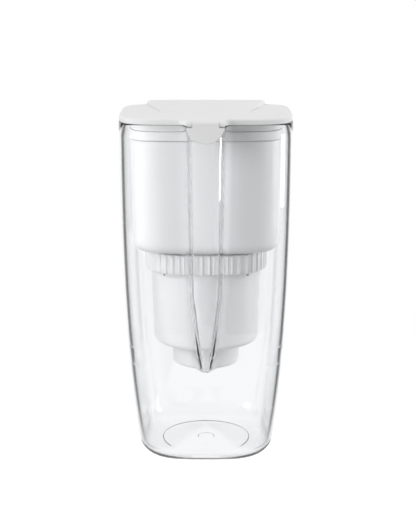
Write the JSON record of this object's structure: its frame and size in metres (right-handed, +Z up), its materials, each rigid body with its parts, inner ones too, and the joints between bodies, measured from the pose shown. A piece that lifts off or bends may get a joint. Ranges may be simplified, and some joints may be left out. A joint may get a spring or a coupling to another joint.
{
  "type": "water filter pitcher",
  "caption": "Tall clear jug with a lift-out hopper, a screw-in filter cartridge under it, a lid with a flip-up fill hatch and a hinged flap over the spout.",
  "frame": {"origin": "on the table, under the middle of the jug", "axes": "+Z up, -Y towards the spout, +X to the right when the spout faces the viewer"},
  "size_m": [0.1364, 0.2034, 0.2768],
  "materials": {
    "clear_plastic": "clear, polished, with a faint blue-grey tint",
    "handle_plastic": "white, fine satin grain",
    "liner_plastic": "pale grey, soft to the fingers",
    "hopper_plastic": "white, semi-gloss",
    "cartridge_plastic": "white, semi-gloss",
    "lid_plastic": "white, satin",
    "seal_rubber": "matte silicone",
    "steel": "brushed",
    "felt": "pressed fibre",
    "carbon": "black granules",
    "resin": "amber beads"
  },
  "bodies": {
    "jug": {"jug": "clear_plastic", "handle_grip": "handle_plastic", "handle_liner": "liner_plastic", "handle_screws": "steel"},
    "hopper": {"hopper": "hopper_plastic"},
    "seal": {"neck_seal": "seal_rubber"},
    "cartridge": {"cartridge_collar": "cartridge_plastic", "cartridge_shell": "cartridge_plastic", "inlet_cap": "cartridge_plastic", "inlet_screen": "steel", "inlet_felt": "felt", "carbon_bed": "carbon", "divider_felt": "felt", "resin_bed": "resin", "outlet_felt": "felt", "outlet_grid": "cartridge_plastic", "outlet_cup": "cartridge_plastic"},
    "lid": {"lid": "lid_plastic", "hatch_pin": "steel", "flap_pin": "steel"},
    "hatch": {"fill_hatch": "lid_plastic"},
    "flap": {"spout_flap": "lid_plastic"}
  },
  "joints": [
    {"name": "hopper_lift", "type": "slide", "parent": "jug", "child": "hopper", "axis": [0, 0, 1], "range_m": [0, 0.215]},
    {"name": "cartridge_drop", "type": "slide", "parent": "hopper", "child": "seal", "axis": [0, 0, -1], "range_m": [0, 0.0091]},
    {"name": "cartridge_turn", "type": "hinge", "parent": "seal", "child": "cartridge", "pos_m": [0, 0, 0.158], "axis": [0, 0, -1], "range_deg": [0, 540]},
    {"name": "lid_lift", "type": "slide", "parent": "hopper", "child": "lid", "axis": [0, 0, 1], "range_m": [0, 0.05]},
    {"name": "hatch_hinge", "type": "hinge", "parent": "lid", "child": "hatch", "pos_m": [0, -0.0164, 0.2744], "axis": [1, 0, 0], "range_deg": [0, 85]},
    {"name": "flap_hinge", "type": "hinge", "parent": "lid", "child": "flap", "pos_m": [0, -0.0834, 0.2739], "axis": [-1, 0, 0], "range_deg": [0, 75]}
  ],
  "couplings": [
    {"joint": "cartridge_drop", "follows": "cartridge_turn", "m_per_rad": 0.00095493}
  ]
}
